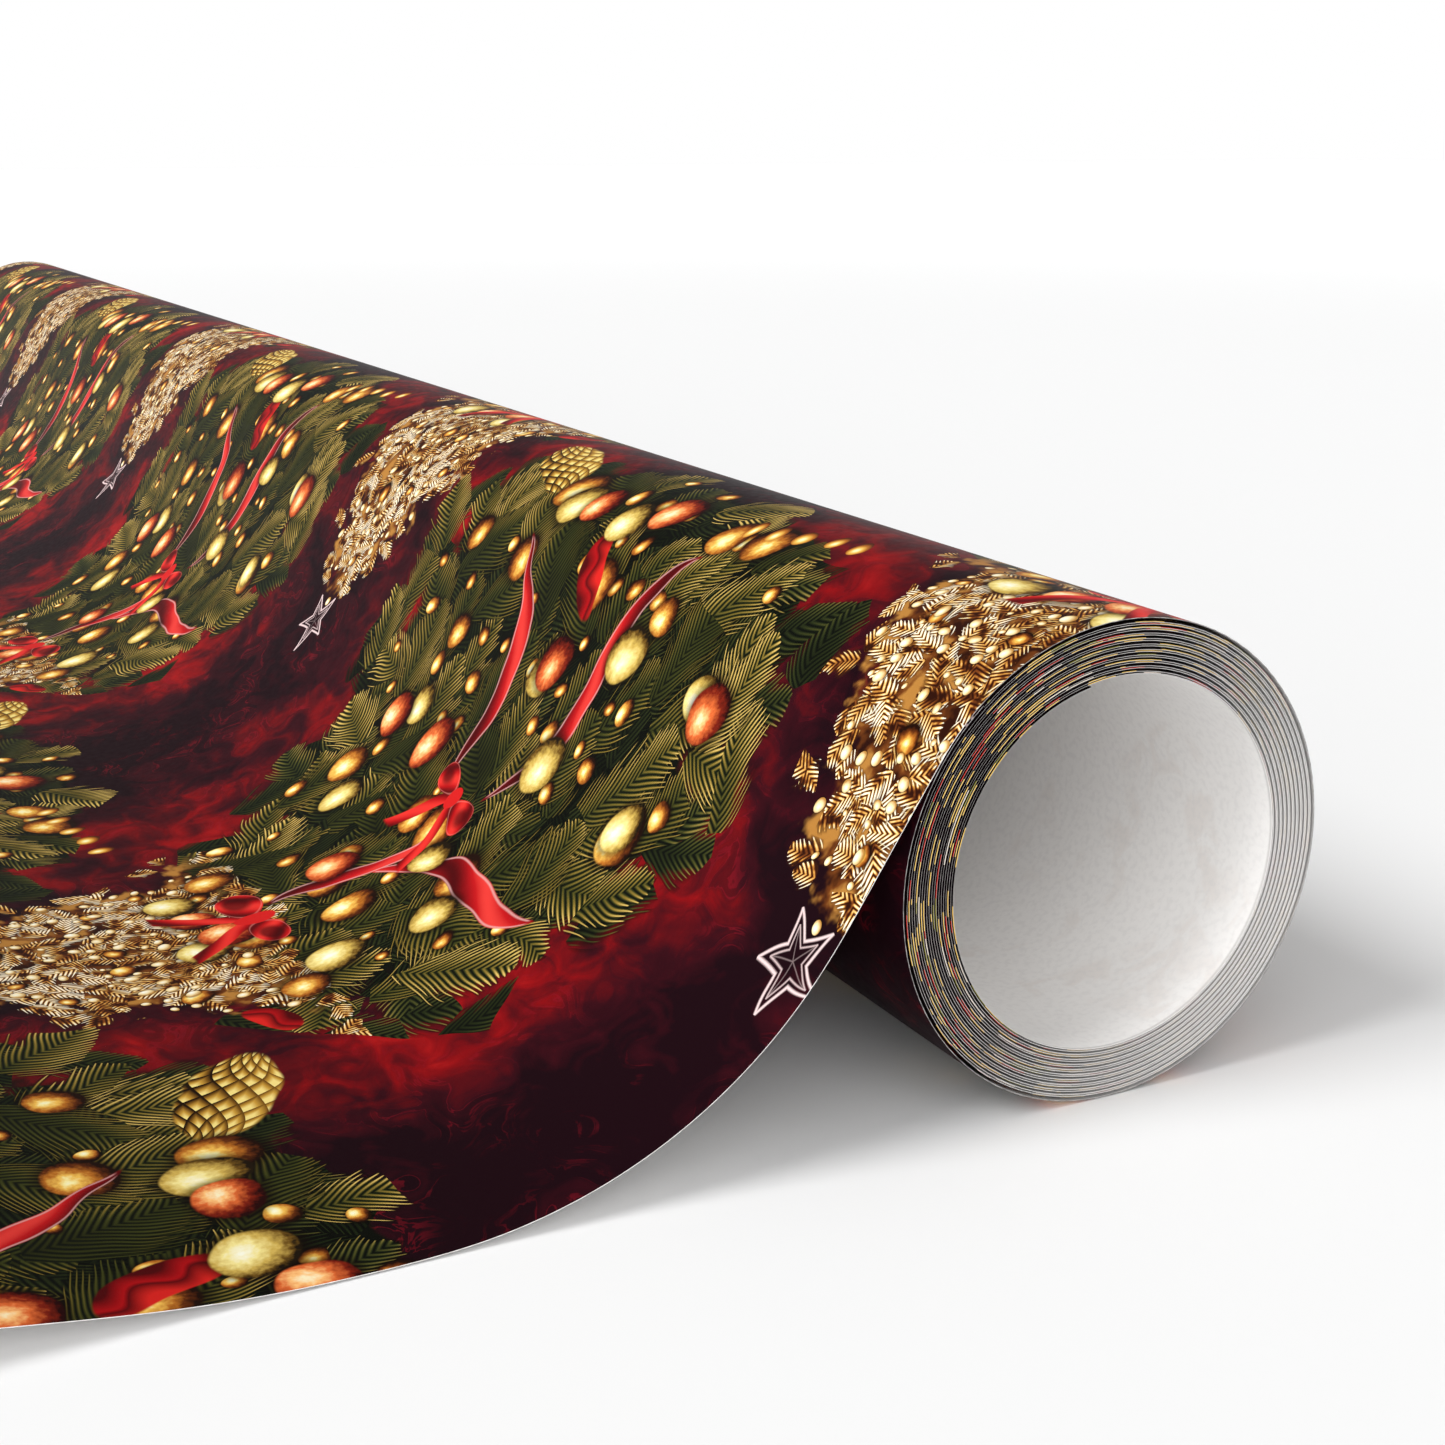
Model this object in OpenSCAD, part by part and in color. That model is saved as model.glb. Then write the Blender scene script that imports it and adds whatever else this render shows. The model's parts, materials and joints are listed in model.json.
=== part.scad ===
// A roll of printed wrapping paper, wound without a core, with its free end drawn off
// the top of the roll and laid out to the left.
//
// The whole object is one sheet, and each node is a stretch of it: the last turn, the
// five nested coils inside it, where coil_1 is the outermost and coil_5 surrounds the
// bore, and six spans of the free end, from the roll to the leading edge.
//
// The origin is on the roll's axis at the middle of its length.  +Y runs along the roll,
// +Z is up, and the free end leaves towards -X.  All sizes are in millimetres.

/* [Sheet] */
// Width of the sheet, which is the length of the roll
sheet_w = 762; // [300:1:1000]
// Thickness that the paper is drawn at, about twice the real thickness
paper_t = 0.2; // [0.18:0.02:0.22]

/* [Roll] */
// Outer diameter of the roll
roll_d = 60; // [58:1:80]
// Distance from one wound turn to the next, in a tight coil
turn_pitch = 0.26; // [0.24:0.02:0.3]
// Where the inner edge of the sheet lies round the bore, in degrees from +X
inner_edge_angle = 103; // [95:1:120]

/* [Free end] */
// Where the sheet leaves the roll, in degrees from +X
leave_angle = 147; // [140:1:155]
// Straight stretch from the roll to the start of the bend
slope_len = 22.8; // [18:0.1:28]
// Stretch that lies flat on the table
flat_len = 6; // [4:0.5:12]
// Radius of the upward curl beyond the flat stretch
curl_r = 160; // [120:1:165]
// Angle that the curl turns through
curl_angle = 9.5; // [6:0.5:9.5]
// Straight stretch from the curl to the leading edge
lead_len = 45; // [35:1:60]

/* [Clearances] */
// Step inwards over half a turn where two coils part
loose_step = 0.27; // [0.27:0.01:0.3]
// Step inwards from the last turn to the first coil, which turns inside it
spin_step = 0.4; // [0.4:0.01:0.5]
// Gap between two neighbouring stretches of the sheet
cut_gap = 0.4; // [0.3:0.05:0.5]

/* [Hidden] */
$fn = 180;

print_red = "#5a0f14";
paper_white = "#ece9e6";

// The wound part is drawn as half turns, each a true arc that ends where the sheet
// crosses the roll's side at z = 0.  Even half turns pass over the top and odd ones
// pass underneath.  Half turns 0 and 1 are the last turn, and the coils follow it.
coil_count = 5;
coil_turns = 4;
coil_halves = 2 * coil_turns;
first_coil_half = 2;
last_half = first_coil_half + coil_count * coil_halves;
tight_step = turn_pitch / 2;

// Two half turns at each parting of two coils take the loose step, and so does the
// lap of the sheet's inner edge
function parts_here(half) =
    half > first_coil_half + 2 && (half - first_coil_half) % coil_halves < 2;
function step_to(half) = parts_here(half) ? loose_step : tight_step;

// Distance from the axis to the middle of the paper where a half turn starts
function side(half) =
    half == 0 ? (roll_d - paper_t + tight_step) / 2 : side(half - 1) - step_to(half);

// A half turn's centre on the X axis, and its radius to the middle of the paper.  The
// coils are inset from the last turn by the spin step.
function over_top(half) = half % 2 == 0;
function centre_x(half) = (over_top(half) ? 1 : -1) * (side(half + 1) - side(half)) / 2;
function mid_r(half, inset) = (side(half) + side(half + 1)) / 2 - inset;

// The lowest point of half turn 1 is where the roll stands
table_z = -mid_r(1, 0) - paper_t / 2;
floor_mid = table_z + paper_t / 2;

// The free end, from the roll to the leading edge
function dir(a) = [cos(a), sin(a)];
leave_point = [centre_x(0), 0] + mid_r(0, 0) * dir(leave_angle);
slope_heading = leave_angle + 90;
bend_turn = slope_heading - 180;
bend_start = leave_point + slope_len * dir(slope_heading);
bend_r = (bend_start[1] - floor_mid) / (1 - cos(bend_turn));
bend_centre = bend_start + bend_r * dir(slope_heading - 90);
flat_end = [bend_centre[0] - flat_len, floor_mid];
curl_centre = flat_end + [0, curl_r];
lead_heading = 180 - curl_angle;
lead_start = curl_centre + curl_r * dir(270 - curl_angle);

bend_third = bend_turn / 3;

// Flat outlines in the XZ plane

module sector(centre, reach, a_low, a_high) {
    polygon([
        centre,
        for (i = [0:4]) centre + reach * dir(a_low + (a_high - a_low) * i / 4)
    ]);
}

module strip_arc(centre, r, a_low, a_high) {
    intersection() {
        translate(centre)
            difference() {
                circle(r = r + paper_t / 2);
                circle(r = r - paper_t / 2);
            }
        sector(centre, 2 * r, a_low, a_high);
    }
}

module strip_line(start, heading, length) {
    translate(start)
        rotate(heading)
            translate([0, -paper_t / 2])
                square([length, paper_t]);
}

// Half turn n, kept between two angles measured from +X
module half_turn(half, inset, a_low, a_high) {
    strip_arc([centre_x(half), 0], mid_r(half, inset), a_low, a_high);
}

module as_wide_as_sheet() {
    rotate([90, 0, 0])
        linear_extrude(height = sheet_w, center = true)
            children();
}

// The angle that half of a cut takes up at a radius
function cut_angle(r) = cut_gap / 2 / r * 180 / PI;

// A coil is a whole number of turns, and the innermost one ends in the sheet's edge
module coil_outline(index) {
    first = first_coil_half + (index - 1) * coil_halves;
    for (half = [first:first + coil_halves - 1])
        half_turn(half, spin_step, over_top(half) ? 0 : 180, over_top(half) ? 180 : 360);
    if (index == coil_count)
        half_turn(last_half, spin_step, inner_edge_angle, 180);
}

// Nodes

module last_turn() {
    color(print_red)
        as_wide_as_sheet() {
            half_turn(0, 0, 0, leave_angle - cut_angle(mid_r(0, 0)));
            half_turn(1, 0, 180, 360);
        }
}

module coil(index) {
    color(paper_white)
        as_wide_as_sheet()
            coil_outline(index);
}

module sheet_shoulder() {
    color(print_red)
        as_wide_as_sheet()
            strip_line(
                leave_point + cut_gap / 2 * dir(slope_heading),
                slope_heading,
                slope_len - cut_gap
            );
}

// Third n of the bend, counted from the slope
module bend_part(n) {
    trim = cut_angle(bend_r);
    strip_arc(
        bend_centre, bend_r,
        270 + bend_turn - (n + 1) * bend_third + (n < 2 ? trim : 0),
        270 + bend_turn - n * bend_third - trim
    );
}

module sheet_slope() {
    color(print_red)
        as_wide_as_sheet()
            bend_part(0);
}

module sheet_bend() {
    color(print_red)
        as_wide_as_sheet()
            bend_part(1);
}

module sheet_foot() {
    color(print_red)
        as_wide_as_sheet() {
            bend_part(2);
            strip_line([bend_centre[0], floor_mid], 180, flat_len - cut_gap / 2);
        }
}

module sheet_curl() {
    trim = cut_angle(curl_r);
    color(print_red)
        as_wide_as_sheet()
            strip_arc(curl_centre, curl_r, 270 - curl_angle + trim, 270 - trim);
}

module sheet_lead() {
    color(print_red)
        as_wide_as_sheet()
            strip_line(
                lead_start + cut_gap / 2 * dir(lead_heading),
                lead_heading,
                lead_len - cut_gap / 2
            );
}

last_turn();
coil(1);  // coil_1
coil(2);  // coil_2
coil(3);  // coil_3
coil(4);  // coil_4
coil(5);  // coil_5
sheet_shoulder();
sheet_slope();
sheet_bend();
sheet_foot();
sheet_curl();
sheet_lead();
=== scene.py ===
import json
import math

import bmesh
import bpy
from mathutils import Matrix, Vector


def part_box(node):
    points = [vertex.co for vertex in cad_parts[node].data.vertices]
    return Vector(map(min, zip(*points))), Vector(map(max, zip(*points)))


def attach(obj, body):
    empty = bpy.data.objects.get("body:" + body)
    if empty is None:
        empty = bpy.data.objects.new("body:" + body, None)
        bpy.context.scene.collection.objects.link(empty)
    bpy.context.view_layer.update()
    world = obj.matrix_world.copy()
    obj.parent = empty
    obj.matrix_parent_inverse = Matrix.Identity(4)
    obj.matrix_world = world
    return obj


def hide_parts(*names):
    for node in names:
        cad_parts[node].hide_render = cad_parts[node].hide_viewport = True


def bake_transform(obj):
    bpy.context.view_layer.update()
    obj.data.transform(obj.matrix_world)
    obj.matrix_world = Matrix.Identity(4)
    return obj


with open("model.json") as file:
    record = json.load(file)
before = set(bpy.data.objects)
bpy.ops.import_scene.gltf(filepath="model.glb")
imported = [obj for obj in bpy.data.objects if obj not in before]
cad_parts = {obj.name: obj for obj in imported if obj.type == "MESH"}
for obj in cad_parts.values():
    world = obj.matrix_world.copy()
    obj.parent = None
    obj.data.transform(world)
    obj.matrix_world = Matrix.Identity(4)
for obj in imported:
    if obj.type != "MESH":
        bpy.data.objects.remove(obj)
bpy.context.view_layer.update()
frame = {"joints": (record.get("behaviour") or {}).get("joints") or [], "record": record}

MM = 0.001
UV_NAME = "sheet"

# ---------------------------------------------------------------------------------------
# The sheet's places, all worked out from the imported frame
# ---------------------------------------------------------------------------------------


def joint_point(name):
    """Where a joint lies across the roll, as (x, z) in metres"""
    joint = next(j for j in frame["joints"] if j["name"] == name)
    return joint["pos_m"][0], joint["pos_m"][2]


def mount_radius(name):
    """Radius in metres that the record gives for a mount"""
    mount = next(m for m in frame["record"]["mounts"] if m["name"] == name)
    return mount["dims"]["r_mm"] * MM


NEAR_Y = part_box("last_turn")[0].y
FAR_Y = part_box("last_turn")[1].y
SHEET_WIDTH = FAR_Y - NEAR_Y
TABLE_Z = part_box("last_turn")[0].z
LEAVE = joint_point("shoulder_flex")
BEND_START = joint_point("slope_flex")
FLAT_END = joint_point("curl_flex")
LEAD_START = joint_point("lead_flex")
LEADING_EDGE_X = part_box("sheet_lead")[0].x
BORE_RADIUS = mount_radius("core_bore")

# The wound sheet is one spiral.  Its angle "wound" is measured in degrees from the leave
# point, over the top of the roll and round.
LEAVE_ANGLE = math.degrees(math.atan2(LEAVE[1], LEAVE[0]))
OUTER_RADIUS = math.hypot(*LEAVE)
TURNS_PER_COIL = 4
COIL_COUNT = 5
HALF_TURN = 180.0
TURN = 360.0
LEFT_CROSSING = LEAVE_ANGLE + HALF_TURN
# Where the sheet's inner edge lies round the bore, in degrees from +X, as in the CAD
INNER_EDGE_ANGLE = 103.0
COILS_END = LEFT_CROSSING + COIL_COUNT * TURNS_PER_COIL * TURN
INNER_EDGE = COILS_END + HALF_TURN - INNER_EDGE_ANGLE
# How far the last turn runs on under its own start, in degrees
TUCK = 15.0
LAST_TURN_END = TURN + TUCK
# Extra gap between the last turn and the coils that turn inside it
SPIN_GAP = 0.15 * MM

# Thickness of the free end and the last turn, and of the wound turns
PAPER = 0.09 * MM
WOUND_PAPER = 0.18 * MM
# Wound turns lie in pairs on the right of the roll, and this is how far each one is off
# an even spiral there
PAIRING = 0.06 * MM
# Trimmed edges of wound paper thin down to this share of its thickness, over this width
FEATHERED = 0.15
FEATHER = 0.09 * MM
INNERMOST = BORE_RADIUS + WOUND_PAPER / 2 + PAIRING
PITCH = (OUTER_RADIUS - SPIN_GAP - INNERMOST) / (INNER_EDGE / TURN)

# How finely the strips are divided, along the sheet and across it
STEPS_PER_TURN = 96
WOUND_COLUMNS = 12
LAST_TURN_COLUMNS = 24
FREE_COLUMNS = 48
FREE_STEP = 0.75 * MM


def heading_vector(degrees):
    """Unit (x, z) at an angle from +X"""
    return math.cos(math.radians(degrees)), math.sin(math.radians(degrees))


def wound_length(wound):
    """Length of sheet from the leave point to an angle of the spiral"""
    angle = math.radians(wound)
    length = OUTER_RADIUS * angle - PITCH / math.tau * angle**2 / 2
    if wound > LAST_TURN_END:
        length -= SPIN_GAP * math.radians(wound - LAST_TURN_END)
    return length


def wound_point(wound, in_coil):
    """(x, z, outward x, outward z, v) of the wound sheet's middle"""
    radius = OUTER_RADIUS - PITCH * wound / TURN
    if in_coil:
        radius += PAIRING * math.cos(math.radians(wound - LEAVE_ANGLE) / 2) - SPIN_GAP
    out = heading_vector(LEAVE_ANGLE - wound)
    return radius * out[0], radius * out[1], out[0], out[1], -wound_length(wound)


def free_layout():
    """The free end's heading where it leaves the roll, and its straights and arcs, each
    (length, curvature)"""
    slope = math.dist(LEAVE, BEND_START)
    rise = math.atan2(BEND_START[1] - LEAVE[1], BEND_START[0] - LEAVE[0])
    heading = math.degrees(rise) % TURN
    bend_turn = math.radians(heading - HALF_TURN)
    bend_radius = (BEND_START[1] - FLAT_END[1]) / (1 - math.cos(bend_turn))
    flat_start_x = BEND_START[0] - bend_radius * math.sin(bend_turn)
    curl_turn = 2 * math.atan2(LEAD_START[1] - FLAT_END[1], FLAT_END[0] - LEAD_START[0])
    curl_radius = (FLAT_END[0] - LEAD_START[0]) / math.sin(curl_turn)
    lead = (LEAD_START[0] - LEADING_EDGE_X) / math.cos(curl_turn)
    spans = [
        (slope, 0.0),
        (bend_radius * bend_turn, -1 / bend_radius),
        (flat_start_x - FLAT_END[0], 0.0),
        (curl_radius * curl_turn, -1 / curl_radius),
        (lead, 0.0),
    ]
    return math.radians(heading), spans


FREE_HEADING, FREE_SPANS = free_layout()
FREE_LENGTH = sum(length for length, _ in FREE_SPANS)


def raw_free_point(s):
    """(x, z, heading) on the free end's straights and arcs, s metres from the leave point"""
    x, z = LEAVE
    heading = FREE_HEADING
    for length, curvature in FREE_SPANS:
        step = min(s, length)
        if curvature:
            after = heading + curvature * step
            x += (math.sin(after) - math.sin(heading)) / curvature
            z -= (math.cos(after) - math.cos(heading)) / curvature
            heading = after
        else:
            x += step * math.cos(heading)
            z += step * math.sin(heading)
        s -= step
        if s <= 0:
            break
    return x, z, heading


# Changes of curvature are averaged over this far either way, from this many points
SOFTEN = 6 * MM
SOFTEN_TAPS = 9


def free_point(s):
    """The free end's path with its changes of curvature softened, as paper takes them"""
    if s <= 0:
        return wound_point(math.degrees(-s / OUTER_RADIUS), False)[:4] + (s,)
    reach = min(SOFTEN, s, FREE_LENGTH - s)
    taps = [s + reach * (2 * i / (SOFTEN_TAPS - 1) - 1) for i in range(SOFTEN_TAPS)]
    points = [raw_free_point(t) for t in taps]
    x, z, heading = (sum(p[k] for p in points) / SOFTEN_TAPS for k in range(3))
    out = math.cos(heading - math.pi / 2), math.sin(heading - math.pi / 2)
    return x, z, out[0], out[1], s


WAVE = 0.22 * MM
WAVE_LENGTHS = (0.21, 0.083)
# The wave starts this far along the free end, and is full after this much more
WAVE_FROM = 20 * MM
WAVE_GROWTH = 60 * MM


def free_wave(y, s):
    """How far the free end stands off its path, as a sheet never lies quite flat"""
    grow = max(0.0, min(1.0, (s - WAVE_FROM) / WAVE_GROWTH))
    first = math.sin(math.tau * (y / WAVE_LENGTHS[0] + s * 3.1))
    second = math.sin(math.tau * (y / WAVE_LENGTHS[1] - s * 5.3) + 1.3)
    return WAVE * grow * (1.0 + 0.65 * first + 0.35 * second) / 2


# ---------------------------------------------------------------------------------------
# Shader nodes written as arithmetic
# ---------------------------------------------------------------------------------------


class Value:
    """A number that shader nodes work out"""

    def __init__(self, tree, socket):
        self.tree = tree
        self.socket = socket

    def math(self, operation, *others):
        """A Math node with this number first"""
        node = self.tree.nodes.new("ShaderNodeMath")
        node.operation = operation
        for slot, item in enumerate((self, *others)):
            plug(self.tree, item, node.inputs[slot])
        return Value(self.tree, node.outputs[0])

    def __add__(self, other):
        return self.math("ADD", other)

    def __sub__(self, other):
        return self.math("SUBTRACT", other)

    def __mul__(self, other):
        return self.math("MULTIPLY", other)

    def __truediv__(self, other):
        return self.math("DIVIDE", other)

    def __mod__(self, other):
        return self.math("FLOORED_MODULO", other)

    def __abs__(self):
        return self.math("ABSOLUTE")

    def __lt__(self, other):
        return self.math("LESS_THAN", other)

    def __gt__(self, other):
        return self.math("GREATER_THAN", other)

    def least(self, other):
        return self.math("MINIMUM", other)

    def most(self, other):
        return self.math("MAXIMUM", other)

    def smooth(self, low, high):
        """A smooth step from 0 at low to 1 at high, whichever of them is the greater"""
        node = self.tree.nodes.new("ShaderNodeMapRange")
        node.interpolation_type = "SMOOTHSTEP"
        plug(self.tree, self, node.inputs["Value"])
        flip = low > high
        node.inputs["From Min"].default_value = high if flip else low
        node.inputs["From Max"].default_value = low if flip else high
        node.inputs["To Min"].default_value = 1.0 if flip else 0.0
        node.inputs["To Max"].default_value = 0.0 if flip else 1.0
        return Value(self.tree, node.outputs["Result"])


def plug(tree, item, socket):
    """Sets a socket from a Value, a socket, a colour or a plain number"""
    if isinstance(item, Value):
        tree.links.new(item.socket, socket)
    elif isinstance(item, bpy.types.NodeSocket):
        tree.links.new(item, socket)
    elif isinstance(item, str):
        socket.default_value = colour(item)
    else:
        socket.default_value = item


def colour(code):
    """Linear RGBA of a hex colour"""
    parts = [int(code[i:i + 2], 16) / 255 for i in (1, 3, 5)]
    linear = [p / 12.92 if p <= 0.04045 else ((p + 0.055) / 1.055) ** 2.4 for p in parts]
    return (*linear, 1.0)


# The colour sockets of a Mix node, which has others of the same names
MIX_UNDER = 6
MIX_TOP = 7
MIX_RESULT = 2


def over(tree, under, top, mask):
    """Colour top laid over colour under where mask is 1"""
    node = tree.nodes.new("ShaderNodeMix")
    node.data_type = "RGBA"
    plug(tree, mask, node.inputs["Factor"])
    plug(tree, under, node.inputs[MIX_UNDER])
    plug(tree, top, node.inputs[MIX_TOP])
    return node.outputs[MIX_RESULT]


def ramp(tree, value, stops):
    """A colour ramp from (place, hex) stops"""
    node = tree.nodes.new("ShaderNodeValToRGB")
    plug(tree, value, node.inputs["Fac"])
    elements = node.color_ramp.elements
    while len(elements) < len(stops):
        elements.new(0.5)
    for element, (place, code) in zip(elements, stops):
        element.position = place
        element.color = colour(code)
    return node.outputs["Color"]


def curve(value, points):
    """A float curve through (x, y) points between 0 and 1"""
    node = value.tree.nodes.new("ShaderNodeFloatCurve")
    plug(value.tree, value, node.inputs["Value"])
    handle = node.mapping.curves[0]
    while len(handle.points) < len(points):
        handle.points.new(0.5, 0.5)
    for point, place in zip(handle.points, points):
        point.location = place
    node.mapping.update()
    return Value(value.tree, node.outputs["Value"])


def join(x, y):
    """A flat vector"""
    node = x.tree.nodes.new("ShaderNodeCombineXYZ")
    plug(x.tree, x, node.inputs["X"])
    plug(x.tree, y, node.inputs["Y"])
    return node.outputs["Vector"]


def split(tree, socket):
    """The three numbers of a vector or a colour"""
    node = tree.nodes.new("ShaderNodeSeparateXYZ")
    tree.links.new(socket, node.inputs["Vector"])
    return [Value(tree, out) for out in node.outputs]


def noise(x, y, size, detail=2.0, twist=0.0):
    """Cloudy noise with patches of about size: its value, and three others from its colour"""
    tree = x.tree
    node = tree.nodes.new("ShaderNodeTexNoise")
    node.noise_dimensions = "2D"
    tree.links.new(join(x, y), node.inputs["Vector"])
    node.inputs["Scale"].default_value = 1.0 / size
    node.inputs["Detail"].default_value = detail
    node.inputs["Distortion"].default_value = twist
    return Value(tree, node.outputs["Fac"]), split(tree, node.outputs["Color"])


# A seed moves the pattern of cells this far
SEED_SHIFT = (37.3, 61.7)


def cells(x, y, size, seed, randomness=0.9):
    """Scattered cells: the centre of the nearest one, and three random numbers for it"""
    tree = x.tree
    shift_x, shift_y = SEED_SHIFT[0] * seed, SEED_SHIFT[1] * seed
    node = tree.nodes.new("ShaderNodeTexVoronoi")
    node.voronoi_dimensions = "2D"
    tree.links.new(join(x + shift_x, y + shift_y), node.inputs["Vector"])
    node.inputs["Scale"].default_value = 1.0 / size
    node.inputs["Randomness"].default_value = randomness
    centre_x, centre_y, _ = split(tree, node.outputs["Position"])
    picks = split(tree, node.outputs["Color"])
    return centre_x - shift_x, centre_y - shift_y, picks


def turned(x, y, angle):
    """(x, y) measured in axes turned by an angle in radians"""
    if isinstance(angle, Value):
        c, s = angle.math("COSINE"), angle.math("SINE")
    else:
        c, s = math.cos(angle), math.sin(angle)
    return x * c + y * s, y * c - x * s


def distance(x, y):
    return (x * x + y * y).math("SQRT")


def disc(q):
    """Mask of a round spot from the distance to its middle over its radius"""
    return q.smooth(1.04, 0.94)


def line_mask(offset, half):
    """Mask of a line from the distance to its middle and half its width"""
    return abs(offset).smooth(half + 0.22, half - 0.1)


def between(value, low, high, soft):
    """Mask that is 1 from low to high, with soft ends"""
    return value.smooth(low - soft, low + soft) * value.smooth(high + soft, high - soft)


def chance(x, y):
    """A random number between 0 and 1 for each pair of whole numbers"""
    node = x.tree.nodes.new("ShaderNodeTexWhiteNoise")
    node.noise_dimensions = "2D"
    x.tree.links.new(join(x, y), node.inputs["Vector"])
    return Value(x.tree, node.outputs["Value"])


# ---------------------------------------------------------------------------------------
# The print: a half-drop repeat of a garland tree, in millimetres
# ---------------------------------------------------------------------------------------

REPEAT_U = 192.0
REPEAT_V = 222.0
# The first tree's place on the sheet, and how far its length starts below that
TREE_U = 101.0
TREE_V = -29.0
FOOT_ROOM = 25.0
TREE_LENGTH = 212.0
# Places along the tree that its sprigs point away from, and of its star
CROWN_Y = 125.0
STAR_Y = 168.0
# Stretches along the tree that green and gilt sprigs keep to, and a place below its foot
GREEN_SPAN = (2.0, 112.0)
GILT_SPAN = (99.0, 162.0)
BELOW = -40.0

# Half the tree's width, over REPEAT_U, against the place along the tree over TREE_LENGTH
TREE_OUTLINE = [
    (0.0, 0.0), (0.09, 0.0), (0.14, 0.14), (0.19, 0.28), (0.29, 0.335), (0.42, 0.3),
    (0.55, 0.235), (0.65, 0.15), (0.74, 0.115), (0.84, 0.065), (0.9, 0.01), (1.0, 0.0),
]
# How much its sprigs leave that outline ragged
RAGGED = 17.0

# Where two neighbouring trees part: the middle of its wave along the tree, and its swing
PARTING_Y = 42.0
PARTING_SWING = 22.0
# The whole print wanders by this much, over patches of this size
SWAY = 3.4
SWAY_SIZE = 14.0

GOLD = [
    (0.0, "#fffbd6"), (0.16, "#fff0a4"), (0.32, "#f3bf56"), (0.55, "#b66c24"),
    (0.76, "#5f2c0f"), (0.95, "#1d0c05"),
]
PALE = [
    (0.0, "#fffde6"), (0.3, "#f6e594"), (0.55, "#cfae54"), (0.8, "#6d4f1c"), (0.95, "#1d1408"),
]
CREAM = [(0.0, "#fffdf0"), (0.5, "#f6dfa6"), (0.9, "#b98540")]
EMBER = [
    (0.0, "#fff0c4"), (0.2, "#ffc27a"), (0.42, "#dd6a34"), (0.7, "#7a2010"), (0.95, "#240606"),
]
FIR_DARK = [(0.0, "#060805"), (0.5, "#1a220f"), (1.0, "#353f1a")]
FIR_MID = [(0.0, "#090d07"), (0.25, "#242b14"), (0.5, "#4a4a20"), (0.8, "#89763a")]
FIR_LIGHT = [(0.0, "#0d1108"), (0.2, "#3a3d18"), (0.42, "#836d2d"), (0.7, "#d8b764")]
FIR_GILT = [
    (0.0, "#2c1007"), (0.14, "#80431a"), (0.32, "#d69a45"), (0.5, "#f6d68e"), (0.75, "#fff5dc"),
]
GILT_HAZE = [(0.35, "#2c1108"), (0.5, "#6e3a16"), (0.62, "#b07a38")]
RIBBON_SATIN = [(0.0, "#4a0609"), (0.4, "#8e0e13"), (0.75, "#b8161a"), (1.0, "#dd3a34")]
BOW_SATIN = [(0.0, "#5a070a"), (0.5, "#b51316"), (1.0, "#e3332c")]
CONE_GILT = [(0.0, "#1f1104"), (0.2, "#7a5218"), (0.5, "#c99a3c"), (0.8, "#f4dc84")]
VELVET = [(0.1, "#4b0609"), (0.45, "#a80f14"), (0.55, "#5a070b"), (0.9, "#d3241f")]
GROUND = [(0.0, "#1a070e"), (0.3, "#340a13"), (0.5, "#570b12"), (0.72, "#830c11"), (1.0, "#a81718")]
# Soft shades that green sprigs, gilt sprigs and baubles cast on what they lie over
FIR_SHADE = "#050704"
GILT_SHADE = "#3c1d0a"
BAUBLE_SHADE = "#100603"


def half_width(y):
    """Half the tree's width at a place along it"""
    return curve((y + FOOT_ROOM) / TREE_LENGTH, TREE_OUTLINE) * REPEAT_U


def on_tree(cx, cy, inset, span):
    """Mask of the cells whose centres lie inside the tree's outline and in a span along it"""
    return (half_width(cy) - abs(cx) > inset) * (cy > span[0]) * (cy < span[1])


def sprigs(x, y, patch, size, seed, length, width, spread, inset, needle, span):
    """Fir sprigs, one to a cell, that point away from the tree's crown.  Gives the mask,
    how bright each point is, more so towards the tree's outline, and a soft shade."""
    cx, cy, (turn, tone, grow) = cells(x, y, size, seed)
    angle = (cy - CROWN_Y).math("ARCTAN2", cx) + (turn - 0.5) * spread
    along, across = turned(x - cx, y - cy, angle)
    left = (across > 0.0) * 50.0
    across = abs(across)
    row = (along - across * 1.15 - across * across * 0.07) / needle
    blade = abs(row % 1.0 * 2.0 - 1.0) * -1.0 + 1.0
    uneven = chance(row.math("FLOOR") + left, (tone * 91.0).math("FLOOR")) * 0.5 + 0.62
    reach = along / (grow * 0.6 + 0.7) / (length / 2)
    body = (reach * reach * -1.0 + 1.0).most(0.01).math("SQRT") * width * uneven
    tip = (across / body).least(1.2)
    ragged = (tone - 0.5) * RAGGED + inset
    inside = on_tree(cx, cy, ragged, span)
    point = (blade - tip * 0.62 - 0.12).smooth(0.0, 0.25)
    stem = across.smooth(0.6, 0.3)
    solid = point.most(stem).most(tip.smooth(0.78, 0.5))
    mask = solid * tip.smooth(1.0, 0.9) * (abs(reach) < 0.99) * inside
    shade = tip.smooth(1.2, 0.85) * (abs(reach) < 1.08) * inside
    rim = (half_width(cy) - abs(cx)).smooth(26.0, 6.0)
    bright = blade.smooth(0.1, 0.95) * (tip * 0.65 + 0.4)
    bright = bright * (reach * 0.25 + 0.9) * (rim * 0.5 + 0.7)
    return mask, bright * (tone * 0.6 + patch * 0.9), shade * 0.6


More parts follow.
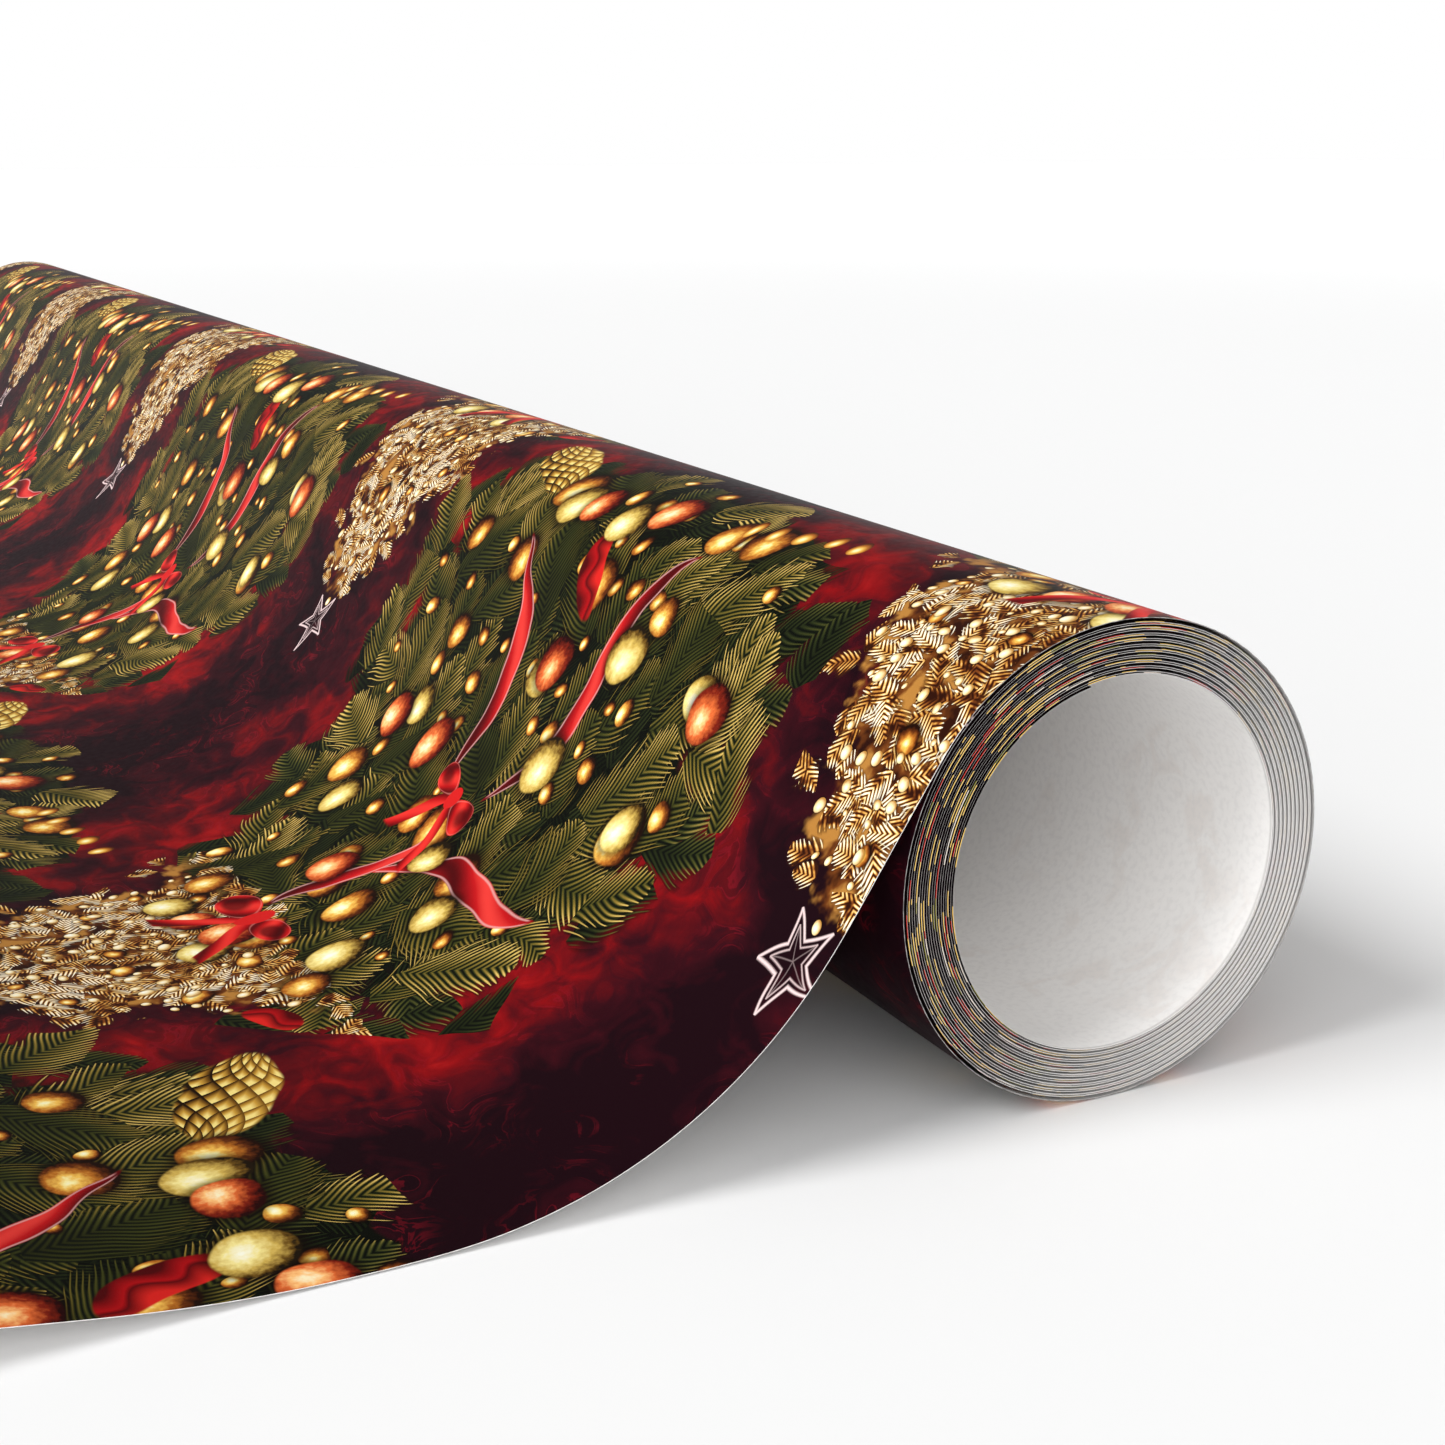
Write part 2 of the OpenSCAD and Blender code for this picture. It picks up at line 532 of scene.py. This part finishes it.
def lay_baubles(tree, paint, x, y, size, seed, small, large, keep, inset, stops, span):
    """Round ornaments that glow from within, one to a cell, each with a soft shade round it"""
    cx, cy, (big, pick, tone) = cells(x, y, size, seed, 0.75)
    radius = big * (large - small) + small
    dx, dy = (x - cx) / radius, (y - cy) / radius
    inside = on_tree(cx, cy, inset, span) * (pick < keep)
    glint = distance(dx + (tone - 0.7) * 0.7, dy - 0.25)
    grain, _ = noise(x, y, 0.9, 2.0)
    tint = glint * 0.8 + (tone - 0.5) * 0.2 + (grain - 0.5) * 0.35
    away = distance(dx, dy)
    paint = over(tree, paint, BAUBLE_SHADE, away.smooth(1.4, 0.95) * inside * 0.7)
    return over(tree, paint, ramp(tree, tint, stops), disc(away) * inside)


def lay_ribbon(tree, paint, along, offset, width, low, high):
    """A satin ribbon from low to high, with a light cord on both edges.  offset is the
    distance from its middle line."""
    place = (along - low) / (high - low)
    taper = (place * math.pi).math("SINE").most(0.0).math("POWER", 0.6)
    half = taper * width + 0.15
    fold = (along * 0.17 + offset * 0.55 + 1.0).math("SINE") * 0.5 + 0.5
    inside = (half - abs(offset)).smooth(-0.15, 0.15) * between(along, low, high, 0.5)
    edge = line_mask(abs(offset) - half + 0.25, 0.1) * between(along, low + 1, high - 1, 0.5)
    paint = over(tree, paint, ramp(tree, fold, RIBBON_SATIN), inside)
    return over(tree, paint, "#d9a4a0", edge * 0.75)


def lay_bow(tree, paint, x, y, place, size, angle):
    """Two loops, two tails and a knot"""
    dx, dy = turned(x - place[0], y - place[1], angle)
    square = dx * dx + dy * dy
    loops = ((dx * dx - dy * dy * 2.1) * size * size - square * square) / (size**3 * 0.5)
    tail_x = abs(dx) - (dy * -0.62 + 0.8)
    tails = line_mask(tail_x, size * 0.14) * between(dy, -size * 1.25, 0.0, 0.4)
    shine = ((abs(dx) - size * 0.35) * 0.8 + dy * 0.9).math("SINE") * 0.5 + 0.5
    satin = ramp(tree, shine, BOW_SATIN)
    paint = over(tree, paint, satin, tails)
    paint = over(tree, paint, satin, loops.smooth(-0.15, 0.15))
    paint = over(tree, paint, "#3a0406", loops.smooth(2.2, 4.6) * 0.8)
    paint = over(tree, paint, "#ef8f84", line_mask(loops - 0.5, 0.12) * 0.35)
    knot = disc(distance(dx / (size * 0.2), dy / (size * 0.24)))
    return over(tree, paint, "#cc1f1e", knot)


def lay_star(tree, paint, x, y):
    """An open five-pointed star of pale wire"""
    dx, dy = x, y - STAR_Y
    wedge = math.tau / 5
    angle = dx.math("ARCTAN2", dy)
    folded = abs((angle + wedge / 2) % wedge - wedge / 2)
    radius = distance(dx, dy)
    fx, fy = radius * folded.math("COSINE"), radius * folded.math("SINE")
    slant = math.radians(18)
    wire = None
    for size, weight in ((6.8, 0.12), (4.4, 0.0)):
        line = (fx - size) * math.sin(slant) + fy * math.cos(slant)
        stroke = line_mask(line, weight) * (radius < size * 1.02)
        wire = stroke if wire is None else wire.most(stroke)
    wire = wire.most(line_mask(fy, -0.06) * (radius < 4.2) * 0.5)
    return over(tree, paint, "#efd3d2", wire)


def lay_cone(tree, paint, x, y, place, length, width, angle):
    """A gilded fir cone with overlapping scales"""
    dx, dy = turned(x - place[0], y - place[1], angle)
    inside = disc(distance(dx / (length / 2), dy / (width / 2)))
    swell = dx * dx * 0.012 + 1.0
    first, second = (dx + dy * swell * 1.3) / 4.6, (dx - dy * swell * 1.3) / 4.6
    lit = (first % 1.0).least(second % 1.0) * 1.15 + dy * 0.03
    return over(tree, paint, ramp(tree, lit, CONE_GILT), inside)


def lay_petal(tree, paint, x, y, place, length, width, angle):
    """A red velvet leaf with a dark fold"""
    dx, dy = turned(x - place[0], y - place[1], angle)
    bend = dy - dx * dx * 0.02
    inside = disc(distance(dx / (length / 2), bend / (width / 2)))
    shade = bend / width + 0.5 + (dx * 0.9).math("SINE") * 0.15
    return over(tree, paint, ramp(tree, shade, VELVET), inside)


def lay_beads(tree, paint, x, y, start, end, count):
    """A short string of small lights"""
    angle = math.atan2(end[1] - start[1], end[0] - start[0])
    step = math.dist(start, end) / count
    dx, dy = turned(x - start[0], y - start[1], angle)
    px, py = turned((dx / step % 1.0 - 0.5) * step, dy, 0.25)
    inside = disc(distance(px / 1.5, py / 2.3)) * between(dx, 0.0, step * count, 0.2)
    glint = distance(px / 2.2, (py - 0.6) / 3.2)
    return over(tree, paint, ramp(tree, glint, GOLD), inside)


def backdrop(tree, u, v):
    """Dark burgundy ground with crimson smoke between the trees"""
    _, (warp_u, warp_v, _) = noise(u, v, 38.0, 4.0)
    wu, wv = u + (warp_u - 0.5) * 40.0, v + (warp_v - 0.5) * 40.0
    beside = ((wu - TREE_U) * (2 * math.tau / REPEAT_U)).math("COSINE") * -0.5 + 0.5
    along = ((wv - TREE_V - 60.0) * (2 * math.tau / REPEAT_V)).math("COSINE") * 0.5 + 0.5
    smoke, _ = noise(u, v, 15.0, 6.0, 0.4)
    wisps, _ = noise(u * 0.7, v, 6.0, 5.0, 1.1)
    heat = beside * 0.66 + along * 0.18 + (smoke - 0.5) + (wisps - 0.5) * 0.75 - 0.12
    veins = line_mask((wisps - 0.5) * 20.0, 0.25) * smoke.smooth(0.45, 0.7)
    return over(tree, ramp(tree, heat, GROUND), "#8c1424", veins * 0.35)


def garland_tree(tree, paint, x, y):
    """The repeat's motif.  x is across the tree, and y runs from its foot to its star."""
    ragged, _ = noise(x, y, 9.0, 3.0)
    patch, _ = noise(x, y, 16.0, 1.0)
    core = (half_width(y) - abs(x) + (ragged - 0.5) * 22.0).smooth(7.0, 13.0) * (y < 118.0)
    paint = over(tree, paint, "#0a0d07", core)
    for size, seed, length, width, inset, stops in (
        (9.0, 1, 17.0, 5.6, 4.0, FIR_DARK),
        (11.0, 2, 18.0, 5.6, -3.0, FIR_MID),
        (13.0, 3, 19.0, 5.8, 0.0, FIR_LIGHT),
        (17.0, 4, 21.0, 6.8, 4.0, FIR_LIGHT),
    ):
        mask, bright, shade = sprigs(
            x, y, patch, size, seed, length, width, 2.3, inset, 1.35, GREEN_SPAN
        )
        paint = over(tree, paint, FIR_SHADE, shade)
        paint = over(tree, paint, ramp(tree, bright, stops), mask)

    haze, _ = noise(x, y, 5.0, 3.0)
    gilded = (half_width(y) - abs(x) + (haze - 0.5) * 20.0).smooth(2.0, 6.0)
    gilded = gilded * between(y, 104.0, 162.0, 3.0)
    paint = over(tree, paint, ramp(tree, haze, GILT_HAZE), gilded)
    sparkle, _ = noise(x, y, 2.6, 2.0)
    for size, seed, length, width, inset in ((4.0, 5, 6.5, 2.1, 2.0), (4.8, 6, 6.5, 2.1, 3.0)):
        mask, bright, shade = sprigs(
            x, y, patch, size, seed, length, width, 3.8, inset, 0.9, GILT_SPAN
        )
        paint = over(tree, paint, GILT_SHADE, shade)
        lit = bright * sparkle.smooth(0.26, 0.6) * 1.8
        paint = over(tree, paint, ramp(tree, lit, FIR_GILT), mask)

    paint = lay_cone(tree, paint, x, y, (43.0, 8.0), 25.0, 12.0, 2.7)
    for size, seed, small, large, keep, inset, stops, span in (
        (8.0, 11, 1.2, 2.3, 0.4, 5.0, GOLD, (BELOW, 160.0)),
        (3.2, 15, 0.4, 1.0, 0.62, 1.5, CREAM, (103.0, 164.0)),
        (15.0, 12, 3.4, 4.7, 0.5, 10.0, GOLD, (BELOW, 112.0)),
    ):
        paint = lay_baubles(tree, paint, x, y, size, seed, small, large, keep, inset, stops, span)
    paint = lay_petal(tree, paint, x, y, (1.0, 26.0), 17.0, 7.0, 2.2)
    paint = lay_petal(tree, paint, x, y, (-33.0, 108.0), 10.0, 5.0, 0.5)
    for pitch, phase, swing, start, slope, width, low, high, upright in (
        (0.085, 0.0, 7.0, -39.0, 0.56, 2.3, 16.0, 64.0, True),
        (0.1, 0.8, 6.0, 44.0, -0.66, 2.3, 24.0, 64.0, True),
        (0.12, 0.0, 4.0, 83.0, 0.32, 2.4, -44.0, 0.0, False),
        (0.15, 0.0, 4.5, -3.0, 0.06, 1.7, 70.0, 99.0, True),
    ):
        along, across = (y, x) if upright else (x, y)
        line = (along * pitch + phase).math("SINE") * swing + start + along * slope
        paint = lay_ribbon(tree, paint, along, across - line, width, low, high)
    for size, seed, small, large, keep, inset, stops, span in (
        (19.0, 13, 3.6, 5.0, 0.62, 9.0, PALE, (BELOW, 112.0)),
        (23.0, 14, 3.6, 5.2, 0.6, 11.0, EMBER, (BELOW, 140.0)),
    ):
        paint = lay_baubles(tree, paint, x, y, size, seed, small, large, keep, inset, stops, span)
    paint = lay_beads(tree, paint, x, y, (-52.0, 4.0), (-22.0, 9.0), 5)
    paint = lay_bow(tree, paint, x, y, (0.0, 66.0), 9.5, 2.9)
    paint = lay_bow(tree, paint, x, y, (3.0, 101.0), 11.0, 3.3)
    return lay_star(tree, paint, x, y)


def print_group():
    """Node group that turns the sheet's own place, in metres, into the printed colour"""
    tree = bpy.data.node_groups.new("garland_print", "ShaderNodeTree")
    tree.interface.new_socket("Place", in_out="INPUT", socket_type="NodeSocketVector")
    tree.interface.new_socket("Color", in_out="OUTPUT", socket_type="NodeSocketColor")
    place = tree.nodes.new("NodeGroupInput").outputs["Place"]
    u, v, _ = split(tree, place)
    u, v = u / MM, v / MM
    paint = backdrop(tree, u, v)

    _, (sway_u, sway_v, _) = noise(u, v, SWAY_SIZE, 1.0)
    pu, pv = u + (sway_u - 0.5) * SWAY, v + (sway_v - 0.5) * SWAY
    first_x = (pu - TREE_U + REPEAT_U / 2) % REPEAT_U - REPEAT_U / 2
    first_y = (pv - TREE_V + FOOT_ROOM) % REPEAT_V - FOOT_ROOM
    other_x = (pu - TREE_U) % REPEAT_U - REPEAT_U / 2
    other_y = (pv - TREE_V - REPEAT_V / 2 + FOOT_ROOM) % REPEAT_V - FOOT_ROOM
    wave = ((first_y - PARTING_Y) * (math.tau / REPEAT_V)).math("COSINE") * 1.6
    parting = wave.least(1.0).most(-1.0) * PARTING_SWING + REPEAT_U / 4
    own = abs(first_x) < parting
    rest = own * -1.0 + 1.0
    x = first_x * own + other_x * rest
    y = first_y * own + other_y * rest
    paint = garland_tree(tree, paint, x, y)
    out = tree.nodes.new("NodeGroupOutput")
    tree.links.new(paint, out.inputs["Color"])
    return tree


# ---------------------------------------------------------------------------------------
# Materials
# ---------------------------------------------------------------------------------------


def new_material(name):
    """A material, its node tree and shader, and the sheet's own coordinates in millimetres"""
    material = bpy.data.materials.new(name)
    material.use_nodes = True
    tree = material.node_tree
    shader = tree.nodes["Principled BSDF"]
    place = tree.nodes.new("ShaderNodeUVMap")
    place.uv_map = UV_NAME
    u, v, _ = split(tree, place.outputs["UV"])
    return material, tree, shader, place, u / MM, v / MM


def fibre_bump(tree, shader, u, v, strength):
    """The fine tooth of uncoated paper stock, with a slower cockle under it"""
    tooth, _ = noise(u, v, 0.5, 3.0)
    cockle, _ = noise(u, v, 26.0, 1.0)
    bump = tree.nodes.new("ShaderNodeBump")
    bump.inputs["Strength"].default_value = strength
    bump.inputs["Distance"].default_value = 0.02 * MM
    plug(tree, tooth * 0.35 + cockle * 2.0, bump.inputs["Height"])
    tree.links.new(bump.outputs["Normal"], shader.inputs["Normal"])


# Where a short stroke of the trimmed edge changes colour
EDGE_STROKES = [
    (0.0, "#f2c968"), (0.24, "#c22a1c"), (0.31, "#efe3d6"), (0.35, "#8f8a3a"), (0.38, "#080304"),
]


def printed_material(name, group, rim_shade_and_strokes):
    """Ink on the print side.  On wound turns the first millimetre is painted nearly black,
    painted shade where the turns shade each other's print, and the feathered rim carries
    the short bright strokes that a trimmed edge shows."""
    material, tree, shader, place, u, v = new_material(name)
    ink = tree.nodes.new("ShaderNodeGroup")
    ink.node_tree = group
    tree.links.new(place.outputs["UV"], ink.inputs["Place"])
    paint = ink.outputs["Color"]
    if rim_shade_and_strokes:
        _, _, (kind, _, _) = cells(v, v * 0.37, 3.8, 5, 1.0)
        stroke = ramp(tree, kind, EDGE_STROKES)
        stroke.node.color_ramp.interpolation = "CONSTANT"
        # Painted shade: the first millimetre of wound print darkens to near black, where the turns
        # shade each other
        paint = over(tree, paint, "#0c0406", u.smooth(1.6, 1.0))
        paint = over(tree, paint, stroke, u.smooth(0.075, 0.055))
    paint = over(tree, paint, "#0a0405", 0.12)
    grain, _ = noise(u, v, 1.3, 3.0)
    plug(tree, grain * 0.14 + 0.34, shader.inputs["Roughness"])
    tree.links.new(paint, shader.inputs["Base Color"])
    shader.inputs["Specular IOR Level"].default_value = 0.012
    fibre_bump(tree, shader, u, v, 0.25)
    return material


def back_material():
    """The white back, through which the print shows faintly, painted greyer in its first half
    millimetre from the near end as shade where the wound turns shade each other
    """
    material, tree, shader, _, u, v = new_material("paper_back")
    patch, _ = noise(u, v, 26.0, 4.0, 0.8)
    leaf, _ = noise(u, v * 0.8, 5.0, 5.0, 0.6)
    fibre, _ = noise(u, v, 0.9, 2.0)
    ghost = patch.smooth(0.5, 0.62) * leaf.smooth(0.42, 0.62)
    paint = over(tree, "#efedeb", "#d8ccc4", ghost * 0.25)
    paint = over(tree, paint, "#dcdad9", fibre.smooth(0.4, 0.75) * 0.35)
    # Painted shade: greyer towards the near end, where the wound turns shade each other's backs
    paint = over(tree, paint, "#b9b6b4", u.smooth(0.6, 0.3) * 0.6)
    tree.links.new(paint, shader.inputs["Base Color"])
    shader.inputs["Roughness"].default_value = 0.75
    shader.inputs["Specular IOR Level"].default_value = 0.3
    fibre_bump(tree, shader, u, v, 0.35)
    return material


def edge_material(name, light, dark):
    """A guillotined edge: compressed fibre with a trace of ink, flecked between a lighter and a
    darker colour.  The wound turns get a darker grey copy, which is painted shade where the turns
    shade each other.
    """
    material, tree, shader, _, u, v = new_material(name)
    fleck, _ = noise(u, v, 1.4, 4.0)
    tree.links.new(over(tree, light, dark, fleck.smooth(0.35, 0.65)), shader.inputs["Base Color"])
    shader.inputs["Roughness"].default_value = 0.85
    return material


# ---------------------------------------------------------------------------------------
# Pieces of the sheet
# ---------------------------------------------------------------------------------------


# Edges that turn by more than this are drawn sharp
SHARP_FROM = math.radians(40)
# The last turn and the free end meet this far round from the leave point
SHOULDER_TUCK = 5 * MM


def strip_columns(columns, feathered):
    """Places across the sheet, each with the share of the paper's thickness it has there"""
    places = [(SHEET_WIDTH * column / columns, 1.0) for column in range(columns + 1)]
    if not feathered:
        return places
    inner = [(FEATHER, 1.0), *places[1:-1], (SHEET_WIDTH - FEATHER, 1.0)]
    return [(0.0, FEATHERED), *inner, (SHEET_WIDTH, FEATHERED)]


def paper_strip(name, path, thickness, columns, materials, wave=None, feathered=False):
    """A closed thin strip that runs the roll's full length along a path of points, each
    (x, z, outward x, outward z, v), printed on its outward side"""
    across = strip_columns(columns, feathered)
    bm = bmesh.new()
    uv_layer = bm.loops.layers.uv.new(UV_NAME)
    grids = []
    places = {}
    for side in (0.5, -0.5):
        grid = []
        for x, z, out_x, out_z, v in path:
            row = []
            for u, share in across:
                y = NEAR_Y + u
                off = side * thickness * share + (wave(y, v) if wave else 0.0)
                vert = bm.verts.new((x + out_x * off, y, z + out_z * off))
                places[vert] = (u, v)
                row.append(vert)
            grid.append(row)
        grids.append(grid)
    outer, inner = grids

    def face(corners, slot):
        made = bm.faces.new(corners)
        made.material_index = slot
        made.smooth = True
        for loop in made.loops:
            loop[uv_layer].uv = places[loop.vert]

    last = len(path) - 1
    columns = len(across) - 1
    for i in range(last):
        for j in range(columns):
            face((outer[i][j], outer[i][j + 1], outer[i + 1][j + 1], outer[i + 1][j]), 0)
            face((inner[i][j], inner[i + 1][j], inner[i + 1][j + 1], inner[i][j + 1]), 1)
        face((outer[i][0], outer[i + 1][0], inner[i + 1][0], inner[i][0]), 2)
        face((outer[i][-1], inner[i][-1], inner[i + 1][-1], outer[i + 1][-1]), 2)
    for j in range(columns):
        face((outer[0][j], inner[0][j], inner[0][j + 1], outer[0][j + 1]), 2)
        face((outer[last][j], outer[last][j + 1], inner[last][j + 1], inner[last][j]), 2)
    bmesh.ops.recalc_face_normals(bm, faces=bm.faces)
    for edge in bm.edges:
        edge.smooth = edge.calc_face_angle() < SHARP_FROM
    mesh = bpy.data.meshes.new(name)
    bm.to_mesh(mesh)
    bm.free()
    for material in materials:
        mesh.materials.append(material)
    piece = bpy.data.objects.new(name, mesh)
    bpy.context.scene.collection.objects.link(piece)
    return piece


def wound_path(start, end, in_coil):
    """Points from one angle of the spiral to another, in even steps"""
    count = max(2, round(STEPS_PER_TURN * (end - start) / TURN))
    angles = [start + (end - start) * i / count for i in range(count + 1)]
    return [wound_point(angle, in_coil) for angle in reversed(angles)]


def path_length(path):
    """Length of sheet that a path covers"""
    return abs(path[-1][4] - path[0][4])


def make_last_turn(materials):
    """The printed turn outside the coils, from the free end to under its own start"""
    path = wound_path(math.degrees(SHOULDER_TUCK / OUTER_RADIUS), LAST_TURN_END, False)
    piece = paper_strip("printed_last_turn", path, PAPER, LAST_TURN_COLUMNS, materials)
    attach(piece, "last_turn")
    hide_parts("last_turn")
    path_length(path)
    return piece


def make_coil(index, materials):
    """Coil number index, and the half turn over the top that joins it to the next one"""
    start = LEFT_CROSSING + (index - 1) * TURNS_PER_COIL * TURN
    end = start + TURNS_PER_COIL * TURN
    if index == COIL_COUNT:
        end = INNER_EDGE
    start = LAST_TURN_END if index == 1 else start + HALF_TURN
    path = wound_path(start, end, True)
    body = f"coil_{index}"
    piece = paper_strip(
        f"wound_{body}", path, WOUND_PAPER, WOUND_COLUMNS, materials, feathered=True
    )
    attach(piece, body)
    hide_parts(body)
    path_length(path)
    if index == COIL_COUNT:
        return
    link_path = wound_path(end, end + HALF_TURN, True)
    link = paper_strip(
        f"wound_link_{index}", link_path, WOUND_PAPER, WOUND_COLUMNS, materials, feathered=True
    )
    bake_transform(link)
    path_length(link_path)


FREE_BODIES = (
    "sheet_shoulder", "sheet_slope", "sheet_bend", "sheet_foot", "sheet_curl", "sheet_lead",
)


def make_free_end(materials):
    """Six pieces of the free end, each centred on one hinge"""
    slope, bend, flat, curl, lead = (length for length, _ in FREE_SPANS)
    hinges = [0.0, slope, slope + bend / 3, slope + 2 * bend / 3, slope + bend + flat]
    hinges.append(hinges[-1] + curl)
    cuts = [-SHOULDER_TUCK]
    cuts += [(a + b) / 2 for a, b in zip(hinges, hinges[1:])]
    cuts.append(FREE_LENGTH)
    for body, start, end in zip(FREE_BODIES, cuts, cuts[1:]):
        count = max(2, round((end - start) / FREE_STEP))
        path = [free_point(start + (end - start) * i / count) for i in range(count + 1)]
        name = body.replace("sheet_", "free_")
        piece = paper_strip(name, path, PAPER, FREE_COLUMNS, materials, free_wave)
        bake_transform(piece)
        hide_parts(body)
        end - start


# ---------------------------------------------------------------------------------------
# Stage
# ---------------------------------------------------------------------------------------

FLOOR_SIZE = 12.0
FLOOR_NEAR = "#ececec"
FLOOR_FAR = "#fbfbfb"
# Distances from the roll's middle between which the floor turns paler: painted light falloff,
# greyer near the roll, that blends the floor into the bright wall
FLOOR_FADE = (0.7, 2.6)
# The camera's place, in nominal roll radii from the middle of the near end, and its aim
CAMERA_OFFSET = (-4.922, -6.310, 2.789)
CAMERA_AIM = (0.4329, 0.8600, -0.2703)
ROLL_RADIUS = 0.03
LENS = 52.56
# A bright wall all round, below a dimmer ceiling, by the height of the direction
WALL_LIGHT = 1.0
CEILING_LIGHT = 0.36
WALL_TOP = 0.34
CEILING_FROM = 0.1
# A broad soft box in front and to the left, and how much it adds to the wall
BOX_DIRECTION = (-0.5, -0.85, 0.16)
BOX_LIGHT = 1.85
BOX_EDGE = 0.45
BOX_CORE = 0.92
# A wide soft sun from the upper left
KEY_AIM = (0.74, -0.02, -0.67)
KEY_ENERGY = 2.3
KEY_SPREAD = math.radians(28)


def make_stage():
    """A plain pale floor under the roll"""
    mesh = bpy.data.meshes.new("floor")
    half = FLOOR_SIZE / 2
    corners = [(x * half, y * half, TABLE_Z) for x, y in ((-1, -1), (1, -1), (1, 1), (-1, 1))]
    mesh.from_pydata(corners, [], [(0, 1, 2, 3)])
    floor = bpy.data.objects.new("floor", mesh)
    bpy.context.scene.collection.objects.link(floor)
    material = bpy.data.materials.new("floor")
    material.use_nodes = True
    tree = material.node_tree
    shader = tree.nodes["Principled BSDF"]
    floor_x, floor_y, _ = split(tree, tree.nodes.new("ShaderNodeTexCoord").outputs["Object"])
    # Painted light falloff: the floor is greyer near the roll and paler far off
    pale = over(tree, FLOOR_NEAR, FLOOR_FAR, distance(floor_x, floor_y).smooth(*FLOOR_FADE))
    tree.links.new(pale, shader.inputs["Base Color"])
    shader.inputs["Roughness"].default_value = 0.9
    shader.inputs["Specular IOR Level"].default_value = 0.1
    mesh.materials.append(material)


def make_lights():
    """Studio light: the world's wall, ceiling and soft box, and the sun"""
    world = bpy.data.worlds.new("studio")
    world.use_nodes = True
    tree = world.node_tree
    direction = tree.nodes.new("ShaderNodeTexCoord").outputs["Generated"]
    along_x, along_y, height = split(tree, direction)
    level = height.smooth(WALL_TOP, CEILING_FROM) * (WALL_LIGHT - CEILING_LIGHT) + CEILING_LIGHT
    box = Vector(BOX_DIRECTION).normalized()
    facing = along_x * box.x + along_y * box.y + height * box.z
    level = level + facing.smooth(BOX_EDGE, BOX_CORE) * BOX_LIGHT
    plug(tree, level, tree.nodes["Background"].inputs["Strength"])
    tree.nodes["Background"].inputs["Color"].default_value = (1.0, 1.0, 1.0, 1.0)
    bpy.context.scene.world = world
    sun = bpy.data.lights.new("key", "SUN")
    sun.energy = KEY_ENERGY
    sun.angle = KEY_SPREAD
    key = bpy.data.objects.new("key", sun)
    key.rotation_euler = Vector(KEY_AIM).to_track_quat("-Z", "Y").to_euler()
    bpy.context.scene.collection.objects.link(key)


def make_camera():
    """The photo's own view"""
    data = bpy.data.cameras.new("camera")
    data.lens = LENS
    data.sensor_width = 36.0
    data.clip_start = 0.01
    data.clip_end = 50.0
    camera = bpy.data.objects.new("camera", data)
    near_end = Vector((0.0, NEAR_Y, 0.0))
    camera.location = near_end + Vector(CAMERA_OFFSET) * ROLL_RADIUS
    camera.rotation_euler = Vector(CAMERA_AIM).to_track_quat("-Z", "Y").to_euler()
    bpy.context.scene.collection.objects.link(camera)
    bpy.context.scene.camera = camera
    bpy.context.scene.view_settings.view_transform = "Standard"


make_camera()
make_stage()
make_lights()

garland = print_group()
back = back_material()
fresh_cut = edge_material("cut_edge", "#f3f1ef", "#d8d3d0")
# Painted shade: the wound turns' edges are a darker grey copy of the cut edge, standing in for the
# shade between the turns
wound_edge = edge_material("wound_edge", "#a5a2a1", "#6f6b6a")
sheet_face = printed_material("printed_paper", garland, rim_shade_and_strokes=False)
wound_face = printed_material("wound_print", garland, rim_shade_and_strokes=True)

last_turn = make_last_turn([sheet_face, back, wound_edge])
for coil_index in range(1, COIL_COUNT + 1):
    make_coil(coil_index, [wound_face, back, wound_edge])
make_free_end([sheet_face, back, fresh_cut])
